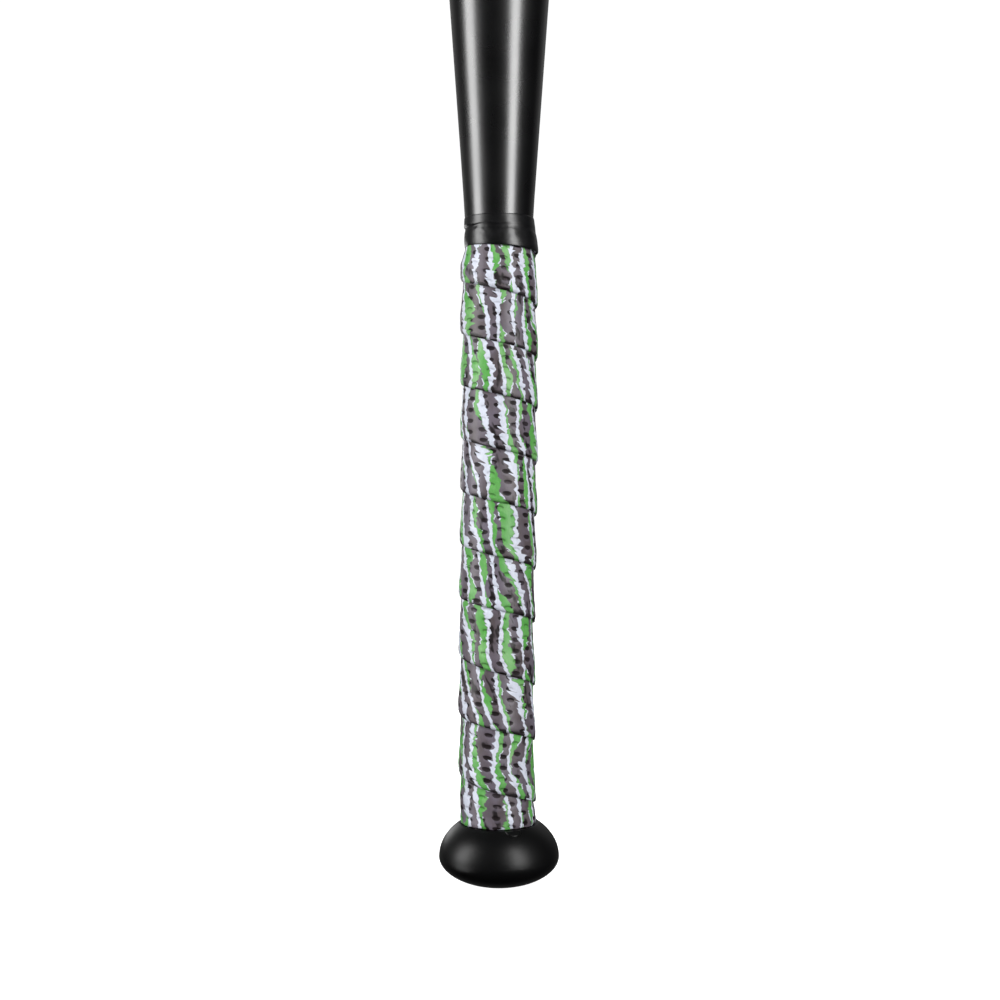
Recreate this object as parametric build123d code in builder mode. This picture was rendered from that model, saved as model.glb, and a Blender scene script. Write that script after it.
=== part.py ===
"""One-piece alloy baseball bat with a wound grip, a finishing band and a moulded end cap.

Millimetres. The bat stands on its knob: the origin is the centre of the knob's base and +Z runs
along the bat to the end cap. Every piece is turned about Z, except the grip tape, which is a
left-handed helix, and the ribs inside the end cap.
"""
from build123d import *
from math import atan2, cos, radians, sin, sqrt, tan
import os

os.makedirs("parts", exist_ok=True)

# ---------------------------------------------------------------- driving dimensions
LENGTH = 762.0                  # overall, 30 in
HANDLE_DIAMETER = 27.5          # bare tube under the grip
HANDLE_WALL = 2.6
BARREL_DIAMETER = 57.15         # 2 1/4 in
BARREL_WALL = 2.0
TAPER_START = 270.0             # where the cone's line meets the handle's
TAPER_ANGLE = 4.15              # half-angle of the cone, degrees
TAPER_BLEND = 400.0             # radius of the long bends at both ends of the cone

KNOB_DIAMETER = 50.0
KNOB_RISE = 18.5                # upper dome's height to its pole
KNOB_DROP = 12.0                # lower dome's height to its pole
KNOB_BASE_DIAMETER = 22.0       # flat that the bat stands on
KNOB_LEDGE = 2.9                # the neck's flat ring, outside the handle
SOCKET_DEPTH = 4.6              # how far the handle goes into the knob
SPIGOT_LENGTH = 16.0            # from the socket's floor up the handle's bore
WELD_GROOVE = 1.0
WELD_CROWN = 0.1
RUNOUT_DIAMETER = 6.6           # button on the neck's rim where the weld bead was ended
RUNOUT_RISE = 0.35              # how far its middle stands out of the neck
RUNOUT_ROUND = 0.5
RUNOUT_BEARING = 19.5           # from the front (-Y) towards +X, degrees
VENT_DIAMETER = 6.0
PLUG_HEAD_DIAMETER = 10.0
PLUG_HEAD_THICKNESS = 1.6
PLUG_SHANK_LENGTH = 7.0
DISC_DIAMETER = 15.0
DISC_THICKNESS = 0.5

DAMPER_LENGTH = 60.0
DAMPER_CORE_DIAMETER = 18.0
DAMPER_RIBS = 5
DAMPER_RIB_WIDTH = 4.0
DAMPER_GAP = 2.0                # above the spigot

FILM_THICKNESS = 0.15           # double-sided film under the tape
FILM_TOP = 252.0
TAPE_THICKNESS = 1.1
TAPE_BED = 0.02                 # radial clearance between the film and the tape
TAPE_PITCH = 22.87
TAPE_GAP = 0.1                  # between one turn and the next
TAPE_FIRST_EDGE = 36.3          # lower edge of a turn on the +X side
HEM_GAP = 0.15                  # grip's lower hem above the knob's neck
GRIP_TOP = 265.0

BAND_BOTTOM = 262.5
BAND_TOP = 275.8
BAND_THICKNESS = 0.2            # one turn of vinyl; two lie on the handle
BAND_SHOULDER = 3.0             # length of the step from the grip down to the handle

CAP_HEIGHT = 9.0                # how far the cap stands out of the barrel
CAP_ROUND = 3.4                 # radius of its outer edge
CAP_INSET = 0.3                 # flange inside the barrel's outline
CAP_DISH_DIAMETER = 32.0
CAP_DISH_DEPTH = 1.8
CAP_FLOOR = 5.5                 # thickness of the end wall under the dish
CAP_SKIRT_LENGTH = 17.0
CAP_SKIRT_WALL = 2.2
CAP_RIBS = 8
CAP_RIB_HEIGHT = 9.0
CAP_HUB_DIAMETER = 12.0
LIP_WIDTH = 1.3                 # the barrel's mouth, rolled inwards
LIP_THICKNESS = 2.2
MOUTH_ROUND = 1.2
BOND_LENGTH = 9.0

SLIP = 0.1                      # radial clearance of one piece inside another

# ---------------------------------------------------------------- sizes that follow
HANDLE_R = HANDLE_DIAMETER / 2
HANDLE_BORE_R = HANDLE_R - HANDLE_WALL
BARREL_R = BARREL_DIAMETER / 2
BARREL_BORE_R = BARREL_R - BARREL_WALL
BARREL_START = TAPER_START + (BARREL_R - HANDLE_R) / tan(radians(TAPER_ANGLE))
MOUTH_Z = LENGTH - CAP_HEIGHT
LIP_R = BARREL_BORE_R - LIP_WIDTH

KNOB_R = KNOB_DIAMETER / 2
KNOB_BASE_R = KNOB_BASE_DIAMETER / 2
KNOB_NECK_R = HANDLE_R + KNOB_LEDGE
KNOB_WIDEST_Z = KNOB_DROP * sqrt(1 - (KNOB_BASE_R / KNOB_R) ** 2)
KNOB_NECK_Z = KNOB_WIDEST_Z + KNOB_RISE * sqrt(1 - (KNOB_NECK_R / KNOB_R) ** 2)
RIM_SLOPE = atan2((KNOB_NECK_Z - KNOB_WIDEST_Z) / KNOB_RISE**2, KNOB_NECK_R / KNOB_R**2)
RUNOUT_NORMAL = (
    cos(RIM_SLOPE) * sin(radians(RUNOUT_BEARING)),
    -cos(RIM_SLOPE) * cos(radians(RUNOUT_BEARING)),
    sin(RIM_SLOPE),
)
RUNOUT_PLANE = Plane(
    origin=(
        KNOB_NECK_R * sin(radians(RUNOUT_BEARING)),
        -KNOB_NECK_R * cos(radians(RUNOUT_BEARING)),
        KNOB_NECK_Z,
    ),
    z_dir=RUNOUT_NORMAL,
).offset(RUNOUT_RISE)
SOCKET_R = HANDLE_R + SLIP
SOCKET_Z = KNOB_NECK_Z - SOCKET_DEPTH
SPIGOT_R = HANDLE_BORE_R - SLIP
SPIGOT_Z = SOCKET_Z + SPIGOT_LENGTH
RECESS_DEPTH = DISC_THICKNESS + SLIP
HEAD_TOP_Z = RECESS_DEPTH + PLUG_HEAD_THICKNESS

FILM_R = HANDLE_R + FILM_THICKNESS
GRIP_BOTTOM = KNOB_NECK_Z + HEM_GAP
TAPE_R = FILM_R + TAPE_BED
GRIP_R = TAPE_R + 2 * TAPE_THICKNESS

CAP_R = BARREL_R - CAP_INSET
CAP_GROOVE_R = LIP_R - SLIP
CAP_SKIRT_R = LIP_R - SLIP
CAP_BARB_R = BARREL_BORE_R - 2 * SLIP
CAP_WALL_Z = LENGTH - CAP_DISH_DEPTH - CAP_FLOOR
LIP_Z = MOUTH_Z - LIP_THICKNESS
SKIRT_Z = LIP_Z - CAP_SKIRT_LENGTH


def bat_outline(handle_r, barrel_r, low, high):
    """Draw the handle, the cone and the barrel as one line, closed back along the axis."""
    FilletPolyline(
        (handle_r, low),
        (handle_r, TAPER_START),
        (barrel_r, BARREL_START),
        (barrel_r, high),
        radius=(TAPER_BLEND, TAPER_BLEND),
    )
    Polyline((barrel_r, high), (0, high), (0, low), (handle_r, low))


def dome(height, low, high):
    """Sketch half of the knob's section: an ellipse about its widest plane, cut at two heights."""
    with Locations((0, KNOB_WIDEST_Z)):
        Ellipse(KNOB_R, height)
    with Locations((0, low)):
        Rectangle(KNOB_R, high - low, align=(Align.MIN, Align.MIN), mode=Mode.INTERSECT)


# ---------------------------------------------------------------- bat_tube
with BuildPart() as bat_tube:
    with BuildSketch(Plane.XZ):
        with BuildLine():
            bat_outline(HANDLE_R, BARREL_R, SOCKET_Z, MOUTH_Z)
        make_face()
    revolve(axis=Axis.Z)
    mouth_edge = bat_tube.edges().filter_by(GeomType.CIRCLE).sort_by(Axis.Z)[-1]
    fillet(mouth_edge, radius=MOUTH_ROUND)
    with BuildSketch(Plane.XZ):
        with BuildLine():
            bat_outline(HANDLE_BORE_R, BARREL_BORE_R, SOCKET_Z, LIP_Z)
        make_face()
    revolve(axis=Axis.Z, mode=Mode.SUBTRACT)
    with BuildSketch(Plane.XY.offset(MOUTH_Z)):
        Circle(LIP_R)
    extrude(amount=-LIP_THICKNESS, mode=Mode.SUBTRACT)
bat_tube.part.label = "bat_tube"
export_step(bat_tube.part, "parts/bat_tube.step")

# ---------------------------------------------------------------- knob
with BuildPart() as knob:
    with BuildSketch(Plane.XZ):
        dome(KNOB_DROP, 0, KNOB_WIDEST_Z)
    revolve(axis=Axis.Z)
    with BuildSketch(Plane.XZ):
        dome(KNOB_RISE, KNOB_WIDEST_Z, KNOB_NECK_Z)
    revolve(axis=Axis.Z)
    # run-out of the weld bead, level with the neck's ring
    with BuildPart(RUNOUT_PLANE, mode=Mode.PRIVATE) as runout:
        Cylinder(
            radius=RUNOUT_DIAMETER / 2,
            height=RUNOUT_DIAMETER / 2,
            align=(Align.CENTER, Align.CENTER, Align.MAX),
        )
        rim = runout.edges().filter_by(GeomType.CIRCLE).sort_by(Axis.Z)[-1]
        fillet(rim, radius=RUNOUT_ROUND)
    add(runout.part)
    with BuildSketch(Plane.XY.offset(KNOB_NECK_Z)):
        Circle(KNOB_R)
    extrude(amount=RUNOUT_DIAMETER, mode=Mode.SUBTRACT)
    # socket for the handle, with a groove for the weld around its mouth
    with BuildSketch(Plane.XY.offset(SOCKET_Z)):
        Circle(SOCKET_R)
    extrude(amount=SOCKET_DEPTH, mode=Mode.SUBTRACT)
    with Locations((0, 0, KNOB_NECK_Z)):
        Cone(
            bottom_radius=SOCKET_R,
            top_radius=SOCKET_R + WELD_GROOVE,
            height=WELD_GROOVE,
            align=(Align.CENTER, Align.CENTER, Align.MAX),
            mode=Mode.SUBTRACT,
        )
    # spigot that centres the handle
    with BuildSketch(Plane.XY.offset(SOCKET_Z)):
        Circle(SPIGOT_R)
    extrude(amount=SPIGOT_LENGTH)
    spigot_edge = knob.edges().filter_by(GeomType.CIRCLE).sort_by(Axis.Z)[-1]
    chamfer(spigot_edge, length=1.0)
    # vent, with seats for the plug's head and the disc
    with Locations(Plane(origin=(0, 0, RECESS_DEPTH), z_dir=(0, 0, -1))):
        CounterBoreHole(
            radius=VENT_DIAMETER / 2,
            counter_bore_radius=PLUG_HEAD_DIAMETER / 2 + SLIP,
            counter_bore_depth=PLUG_HEAD_THICKNESS,
        )
    with BuildSketch(Plane.XY):
        Circle(DISC_DIAMETER / 2 + SLIP)
    extrude(amount=RECESS_DEPTH, mode=Mode.SUBTRACT)
knob.part.label = "knob"
export_step(knob.part, "parts/knob.step")

# ---------------------------------------------------------------- knob_weld
weld_low = (SOCKET_R, KNOB_NECK_Z - WELD_GROOVE)
weld_out = (SOCKET_R + WELD_GROOVE, KNOB_NECK_Z)
weld_in = (HANDLE_R, KNOB_NECK_Z)
weld_top = ((weld_out[0] + weld_in[0]) / 2, KNOB_NECK_Z + WELD_CROWN)
with BuildPart() as knob_weld:
    with BuildSketch(Plane.XZ):
        with BuildLine():
            Line(weld_low, weld_out)
            ThreePointArc(weld_out, weld_top, weld_in)
            Polyline(weld_in, (HANDLE_R, weld_low[1]), weld_low)
        make_face()
    revolve(axis=Axis.Z)
knob_weld.part.label = "knob_weld"
export_step(knob_weld.part, "parts/knob_weld.step")

# ---------------------------------------------------------------- knob_plug
with BuildPart() as knob_plug:
    with BuildSketch(Plane.XY.offset(RECESS_DEPTH)):
        Circle(PLUG_HEAD_DIAMETER / 2)
    extrude(amount=PLUG_HEAD_THICKNESS)
    with BuildSketch(Plane.XY.offset(HEAD_TOP_Z)):
        Circle(VENT_DIAMETER / 2)
    extrude(amount=PLUG_SHANK_LENGTH)
    plug_tip = knob_plug.edges().filter_by(GeomType.CIRCLE).sort_by(Axis.Z)[-1]
    chamfer(plug_tip, length=0.8)
knob_plug.part.label = "knob_plug"
export_step(knob_plug.part, "parts/knob_plug.step")

# ---------------------------------------------------------------- knob_disc
with BuildPart() as knob_disc:
    with BuildSketch(Plane.XY.offset(SLIP)):
        Circle(DISC_DIAMETER / 2)
    extrude(amount=DISC_THICKNESS)
knob_disc.part.label = "knob_disc"
export_step(knob_disc.part, "parts/knob_disc.step")

# ---------------------------------------------------------------- handle_damper
DAMPER_Z = SPIGOT_Z + DAMPER_GAP
RIB_STEP = (DAMPER_LENGTH - DAMPER_RIB_WIDTH) / (DAMPER_RIBS - 1)
with BuildPart() as handle_damper:
    with BuildSketch(Plane.XY.offset(DAMPER_Z)):
        Circle(DAMPER_CORE_DIAMETER / 2)
    extrude(amount=DAMPER_LENGTH)
    for rib in range(DAMPER_RIBS):
        with BuildSketch(Plane.XY.offset(DAMPER_Z + rib * RIB_STEP)):
            Circle(HANDLE_BORE_R)
        extrude(amount=DAMPER_RIB_WIDTH)
handle_damper.part.label = "handle_damper"
export_step(handle_damper.part, "parts/handle_damper.step")

# ---------------------------------------------------------------- grip_adhesive
with BuildPart() as grip_adhesive:
    with BuildSketch(Plane.XY.offset(GRIP_BOTTOM)):
        Circle(FILM_R)
        Circle(HANDLE_R, mode=Mode.SUBTRACT)
    extrude(amount=FILM_TOP - GRIP_BOTTOM)
grip_adhesive.part.label = "grip_adhesive"
export_step(grip_adhesive.part, "parts/grip_adhesive.step")

# ---------------------------------------------------------------- grip_tape
# One strip wound upwards. Its lower edge is as thick as the two layers of the lap, and the whole
# winding is trimmed square at both ends.
TURN_WIDTH = TAPE_PITCH - TAPE_GAP
FIRST_TURN_Z = TAPE_FIRST_EDGE - 2 * TAPE_PITCH
TURNS = int((GRIP_TOP - FIRST_TURN_Z) / TAPE_PITCH) + 1
with BuildPart() as grip_tape:
    with BuildLine() as winding:
        for turn in range(TURNS):
            Helix(
                pitch=TAPE_PITCH,
                height=TAPE_PITCH,
                radius=TAPE_R,
                center=(0, 0, FIRST_TURN_Z + turn * TAPE_PITCH),
                lefthand=True,
            )
    with BuildSketch(Plane.XZ):
        with BuildLine():
            Polyline(
                (TAPE_R, FIRST_TURN_Z),
                (TAPE_R, FIRST_TURN_Z + TURN_WIDTH),
                (TAPE_R + TAPE_THICKNESS, FIRST_TURN_Z + TURN_WIDTH),
                (GRIP_R, FIRST_TURN_Z),
                close=True,
            )
        make_face()
    sweep(path=winding.line, is_frenet=True)
    split(bisect_by=Plane.XY.offset(GRIP_BOTTOM), keep=Keep.TOP)
    split(bisect_by=Plane.XY.offset(GRIP_TOP), keep=Keep.BOTTOM)
grip_tape.part.label = "grip_tape"
export_step(grip_tape.part, "parts/grip_tape.step")

# ---------------------------------------------------------------- finishing_band
# Vinyl tape over the end of the grip: it laps the last turn, steps down and closes on the cone.
BAND_LAP_R = GRIP_R + BAND_THICKNESS
STEP_Z = GRIP_TOP + BAND_SHOULDER
BAND_FOOT_R = HANDLE_R + TAPE_THICKNESS / 2 + BAND_THICKNESS
BAND_TOP_R = HANDLE_R + (BAND_TOP - TAPER_START) * tan(radians(TAPER_ANGLE)) + 2 * BAND_THICKNESS
with BuildPart() as finishing_band:
    with BuildSketch(Plane.XZ):
        with BuildLine():
            Polyline(
                (0, BAND_BOTTOM),
                (BAND_LAP_R, BAND_BOTTOM),
                (BAND_LAP_R, GRIP_TOP),
                (BAND_FOOT_R, STEP_Z),
                (BAND_TOP_R, BAND_TOP),
                (0, BAND_TOP),
                close=True,
            )
        make_face()
    revolve(axis=Axis.Z)
    with BuildSketch(Plane.XY.offset(BAND_BOTTOM)):
        Circle(GRIP_R)
    extrude(amount=GRIP_TOP - BAND_BOTTOM, mode=Mode.SUBTRACT)
    with BuildSketch(Plane.XZ):
        with BuildLine():
            bat_outline(HANDLE_R, BARREL_R, SOCKET_Z, MOUTH_Z)
        make_face()
    revolve(axis=Axis.Z, mode=Mode.SUBTRACT)
finishing_band.part.label = "finishing_band"
export_step(finishing_band.part, "parts/finishing_band.step")

# ---------------------------------------------------------------- end_cap
# A cup with a flange on the barrel's mouth, a groove for the rolled lip and a barb behind it.
BARB_LENGTH = 3.0
with BuildPart() as end_cap:
    with BuildSketch(Plane.XZ):
        with BuildLine():
            FilletPolyline(
                (0, SKIRT_Z),
                (CAP_SKIRT_R, SKIRT_Z),
                (CAP_SKIRT_R, LIP_Z - SLIP - BARB_LENGTH),
                (CAP_BARB_R, LIP_Z - SLIP),
                (CAP_GROOVE_R, LIP_Z - SLIP),
                (CAP_GROOVE_R, MOUTH_Z),
                (CAP_R, MOUTH_Z),
                (CAP_R, LENGTH),
                (0, LENGTH),
                radius=(0, 0, 0, 0, 0, 0, CAP_ROUND),
            )
            Line((0, LENGTH), (0, SKIRT_Z))
        make_face()
    revolve(axis=Axis.Z)
    # hollow of the cup
    with BuildSketch(Plane.XY.offset(SKIRT_Z)):
        Circle(CAP_SKIRT_R - CAP_SKIRT_WALL)
    extrude(amount=CAP_WALL_Z - SKIRT_Z, mode=Mode.SUBTRACT)
    # hub and radial ribs under the end wall
    with BuildSketch(Plane.XY.offset(CAP_WALL_Z)):
        Circle(CAP_HUB_DIAMETER / 2)
        with PolarLocations(0, CAP_RIBS):
            Rectangle(
                CAP_SKIRT_R - CAP_SKIRT_WALL / 2,
                CAP_SKIRT_WALL,
                align=(Align.MIN, Align.CENTER),
            )
    extrude(amount=-CAP_RIB_HEIGHT)
    # dish in the outer face
    with BuildSketch(Plane.XY.offset(LENGTH)):
        Circle(CAP_DISH_DIAMETER / 2)
    extrude(amount=-CAP_DISH_DEPTH, taper=30, mode=Mode.SUBTRACT)
end_cap.part.label = "end_cap"
export_step(end_cap.part, "parts/end_cap.step")

# ---------------------------------------------------------------- cap_bond_ring
with BuildPart() as cap_bond_ring:
    with BuildSketch(Plane.XY.offset(SKIRT_Z)):
        Circle(BARREL_BORE_R)
        Circle(CAP_SKIRT_R, mode=Mode.SUBTRACT)
    extrude(amount=BOND_LENGTH)
cap_bond_ring.part.label = "cap_bond_ring"
export_step(cap_bond_ring.part, "parts/cap_bond_ring.step")
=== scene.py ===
"""Looks of a one-piece alloy baseball bat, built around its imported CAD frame.

The bat stands on its knob with +Z along the axis. The grip tape and the finishing band are wound
here by Geometry Nodes and stand for their plain CAD solids. The turned and moulded pieces keep
their CAD shape and get a finish each. Lengths are in metres, unless a name ends in _mm or _cm.
"""

import logging
import math
from collections.abc import Mapping, Sequence
from dataclasses import dataclass, field
from enum import Enum
from typing import Any, Union

import bpy
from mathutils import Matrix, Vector


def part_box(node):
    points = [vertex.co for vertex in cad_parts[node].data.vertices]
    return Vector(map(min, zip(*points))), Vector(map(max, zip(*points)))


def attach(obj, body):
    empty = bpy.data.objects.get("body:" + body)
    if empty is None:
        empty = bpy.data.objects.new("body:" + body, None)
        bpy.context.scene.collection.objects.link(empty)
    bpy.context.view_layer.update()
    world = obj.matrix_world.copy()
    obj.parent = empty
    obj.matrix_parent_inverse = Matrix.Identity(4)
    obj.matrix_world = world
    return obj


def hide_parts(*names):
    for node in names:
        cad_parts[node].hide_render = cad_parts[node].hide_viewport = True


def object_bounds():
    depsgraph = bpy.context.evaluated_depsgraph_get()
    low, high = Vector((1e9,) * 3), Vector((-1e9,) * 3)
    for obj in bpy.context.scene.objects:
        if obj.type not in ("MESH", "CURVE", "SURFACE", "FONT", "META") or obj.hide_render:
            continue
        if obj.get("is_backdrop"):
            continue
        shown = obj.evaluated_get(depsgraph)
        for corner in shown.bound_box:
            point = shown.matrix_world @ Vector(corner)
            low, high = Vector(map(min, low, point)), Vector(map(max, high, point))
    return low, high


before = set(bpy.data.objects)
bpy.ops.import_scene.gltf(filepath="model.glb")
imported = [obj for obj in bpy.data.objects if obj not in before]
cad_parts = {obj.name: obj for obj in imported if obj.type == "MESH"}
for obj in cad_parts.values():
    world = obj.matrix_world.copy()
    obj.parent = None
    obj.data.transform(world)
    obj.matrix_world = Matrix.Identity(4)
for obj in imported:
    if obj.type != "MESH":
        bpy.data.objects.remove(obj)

logging.basicConfig(level=logging.INFO, format="%(name)s: %(message)s")
log = logging.getLogger("bat")

MM = 0.001
CM = 0.01
TURN = 2 * math.pi
BODY = "root"
Colour = tuple[float, float, float]


class Winding(Enum):
    """Which way a tape climbs, seen from the end cap."""

    LEFT_HANDED = -1
    RIGHT_HANDED = 1


class Gloss(Enum):
    """How a finish mirrors a lamp, as the shader's roughness."""

    SATIN = 0.27
    EGGSHELL = 0.38
    MATTE = 0.40
    CHALKY = 0.62


# ------------------------------------------------------------------------------- node trees


class Wire:
    """One output socket, which Python's operators turn into Math or Vector Math nodes."""

    def __init__(self, tree: "Tree", socket: bpy.types.NodeSocket) -> None:
        """Wrap a socket.

        Args:
            tree: The tree that new nodes go to.
            socket: The output socket to wrap.
        """
        self.tree = tree
        self.socket = socket

    def calc(self, operation: str, *others: "Value") -> "Wire":
        """Send this value through a maths node.

        Args:
            operation: The node's operation, such as "ADD".
            others: The values of its further inputs.

        Returns:
            The node's result.
        """
        return self.tree.calc(operation, self, *others)

    def __add__(self, other: "Value") -> "Wire":
        """Add a value."""
        return self.calc("ADD", other)

    def __radd__(self, other: "Value") -> "Wire":
        """Add to a plain value."""
        return self.tree.calc("ADD", other, self)

    def __sub__(self, other: "Value") -> "Wire":
        """Take a value away."""
        return self.calc("SUBTRACT", other)

    def __rsub__(self, other: "Value") -> "Wire":
        """Take this away from a plain value."""
        return self.tree.calc("SUBTRACT", other, self)

    def __mul__(self, other: "Value") -> "Wire":
        """Multiply by a value."""
        return self.calc("MULTIPLY", other)

    def __truediv__(self, other: "Value") -> "Wire":
        """Divide by a value."""
        return self.calc("DIVIDE", other)

    def __pow__(self, other: "Value") -> "Wire":
        """Raise to a power."""
        return self.calc("POWER", other)

    def __abs__(self) -> "Wire":
        """Drop the sign."""
        return self.calc("ABSOLUTE")

    def __gt__(self, other: "Value") -> "Wire":
        """1 where this is the larger, else 0."""
        return self.calc("GREATER_THAN", other)


Value = Union[Wire, float, int, bool, str, Sequence[float], bpy.types.ID]


class Tree:
    """A node tree under construction, for a material, the world or Geometry Nodes."""

    def __init__(self, nodes: bpy.types.NodeTree) -> None:
        """Take over a node tree.

        Args:
            nodes: The tree to build in.
        """
        self.nodes = nodes

    def node(
        self, kind: str, settings: Mapping[str, Any] | None = None,
        sockets: Mapping[str | int, Value] | None = None,
    ) -> bpy.types.Node:
        """Add any node: its settings come first, then the values or links of its sockets.

        Args:
            kind: The node's type, such as "ShaderNodeTexNoise".
            settings: Properties to set. "stops" holds a colour ramp's (place, colour) pairs and
                "points" a float curve's (x, y) pairs.
            sockets: Input names or indices with a plain value or a Wire each.

        Returns:
            The new node.
        """
        node = self.nodes.nodes.new(kind)
        for name, setting in (settings or {}).items():
            if name == "stops":
                fill_ramp(node.color_ramp, setting)
            elif name == "points":
                fill_curve(node.mapping, setting)
            else:
                setattr(node, name, setting)
        for key, value in (sockets or {}).items():
            if isinstance(value, Wire):
                self.nodes.links.new(value.socket, node.inputs[key])
            else:
                node.inputs[key].default_value = value
        return node

    def out(
        self, kind: str, settings: Mapping[str, Any] | None = None,
        sockets: Mapping[str | int, Value] | None = None, output: str | int = 0,
    ) -> Wire:
        """Add a node as node() does and wrap one of its outputs.

        Args:
            kind: The node's type.
            settings: Properties to set first.
            sockets: Input values or links.
            output: The output's name or index.

        Returns:
            The wrapped output.
        """
        return Wire(self, self.node(kind, settings, sockets).outputs[output])

    def calc(self, operation: str, *values: Value) -> Wire:
        """Add a Math node, or a Vector Math node where a value is a vector.

        Args:
            operation: The operation, such as "MULTIPLY".
            values: Its inputs in order.

        Returns:
            The result.
        """
        wide = any(isinstance(v, Wire) and v.socket.type == "VECTOR" for v in values)
        kind = "ShaderNodeVectorMath" if wide else "ShaderNodeMath"
        if wide:
            values = tuple(v if isinstance(v, (Wire, tuple)) else (v, v, v) for v in values)
        return self.out(kind, {"operation": operation}, dict(enumerate(values)))

    def vector(self, x: Value, y: Value, z: Value = 0.0) -> Wire:
        """Join three numbers into a vector.

        Args:
            x: The first number.
            y: The second number.
            z: The third number.

        Returns:
            The vector.
        """
        return self.out("ShaderNodeCombineXYZ", sockets={0: x, 1: y, 2: z})

    def split(self, vector: Wire) -> tuple[Wire, Wire, Wire]:
        """Part a vector into its three numbers.

        Args:
            vector: The vector.

        Returns:
            Its x, y and z.
        """
        node = self.node("ShaderNodeSeparateXYZ", sockets={0: vector})
        return tuple(Wire(self, output) for output in node.outputs)

    def ramp(
        self, value: Value, low: Value, high: Value, start: Value = 0.0, end: Value = 1.0,
        smooth: bool = False,
    ) -> Wire:
        """Carry a value from one range to another and hold it at both ends.

        Args:
            value: The number to carry.
            low: Where the result is start.
            high: Where the result is end.
            start: The first result.
            end: The last result.
            smooth: Ease in and out.

        Returns:
            The number in its new range.
        """
        style = "SMOOTHSTEP" if smooth else "LINEAR"
        return self.out(
            "ShaderNodeMapRange", {"interpolation_type": style, "clamp": True},
            {0: value, 1: low, 2: high, 3: start, 4: end},
        )

    def noise(self, place: Wire, scale: float = 1.0, detail: float = 2.0,
              roughness: float = 0.5, seed: Value = 0.0) -> Wire:
        """Sample smooth noise about 0.5, seeded by its fourth coordinate.

        Args:
            place: Where to sample, as a vector.
            scale: Waves for each unit of length.
            detail: Octaves.
            roughness: Weight of the finer octaves.
            seed: The fixed fourth coordinate.

        Returns:
            The noise's value.
        """
        return self.out(
            "ShaderNodeTexNoise", {"noise_dimensions": "4D"},
            {"Vector": place, "W": seed, "Scale": scale, "Detail": detail,
             "Roughness": roughness},
        )


def fill_ramp(ramp: bpy.types.ColorRamp, stops: Sequence[tuple[float, Colour]]) -> None:
    """Give a colour ramp its stops.

    Args:
        ramp: The node's ramp, with its first two stops.
        stops: Places from 0 to 1, in order, with their colours.
    """
    for index, (place, colour) in enumerate(stops):
        stop = ramp.elements[index] if index < 2 else ramp.elements.new(place)
        stop.position = place
        stop.color = (*colour, 1.0)


def fill_curve(mapping: bpy.types.CurveMapping, points: Sequence[tuple[float, float]]) -> None:
    """Give a float curve its points.

    Args:
        mapping: The node's curves.
        points: Places and heights from 0 to 1, in order.
    """
    curve = mapping.curves[0]
    while len(curve.points) > 2:
        curve.points.remove(curve.points[-2])
    for index, (x, y) in enumerate(points):
        point = curve.points[index] if index < 2 else curve.points.new(x, y)
        point.location = (x, y)
    mapping.update()


class ShapeTree(Tree):
    """A Geometry Nodes tree with named inputs, which ends in real geometry and its material."""

    SEAM_REACH = 0.004 * MM

    def __init__(self, name: str, inputs: Mapping[str, str]) -> None:
        """Start a tree.

        Args:
            name: The tree's name.
            inputs: The name and the socket type of each input.
        """
        super().__init__(bpy.data.node_groups.new(name, "GeometryNodeTree"))
        face = self.nodes.interface
        for label, kind in inputs.items():
            face.new_socket(label, in_out="INPUT", socket_type=kind)
        face.new_socket("Geometry", in_out="OUTPUT", socket_type="NodeSocketGeometry")
        self.given = self.nodes.nodes.new("NodeGroupInput")

    def input(self, name: str) -> Wire:
        """Wrap a named input.

        Args:
            name: The input's name.

        Returns:
            The wrapped input.
        """
        return Wire(self, self.given.outputs[name])

    def keep_map(self, shape: Wire, name: str, value: Wire) -> Wire:
        """Store a UV map on the geometry.

        Args:
            shape: The geometry so far.
            name: The map's name.
            value: The coordinates to store.

        Returns:
            The geometry with the map.
        """
        return self.out(
            "GeometryNodeStoreNamedAttribute", {"data_type": "FLOAT2", "domain": "CORNER"},
            {"Geometry": shape, "Name": name, "Value": value},
        )

    def close(self, shape: Wire) -> None:
        """End the tree: merge the seams, make instances real and set the material.

        Args:
            shape: The finished geometry.
        """
        merged = self.out("GeometryNodeMergeByDistance",
                          sockets={"Geometry": shape, "Distance": self.SEAM_REACH})
        smooth = self.out("GeometryNodeSetShadeSmooth", sockets={0: merged})
        real = self.out("GeometryNodeRealizeInstances", sockets={0: smooth})
        dressed = self.out("GeometryNodeSetMaterial",
                           sockets={"Geometry": real, "Material": self.input("Material")})
        self.node("NodeGroupOutput", sockets={0: dressed})

    def grow(self, name: str, values: Mapping[str, Any]) -> bpy.types.Object:
        """Run the tree with these values and keep the result as a plain mesh.

        Args:
            name: The new piece's name.
            values: A value for each named input.

        Returns:
            The piece, at the origin, with no modifier left on it.
        """
        piece = bpy.data.objects.new(name, bpy.data.meshes.new(name))
        bpy.context.scene.collection.objects.link(piece)
        modifier = piece.modifiers.new("Grow", "NODES")
        modifier.node_group = self.nodes
        for item in self.nodes.interface.items_tree:
            if item.in_out == "INPUT":
                modifier[item.identifier] = values[item.name]
        found = piece.evaluated_get(bpy.context.evaluated_depsgraph_get())
        mesh = bpy.data.meshes.new_from_object(found)
        mesh.name = name
        piece.modifiers.remove(modifier)
        piece.data = mesh
        return piece


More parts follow.
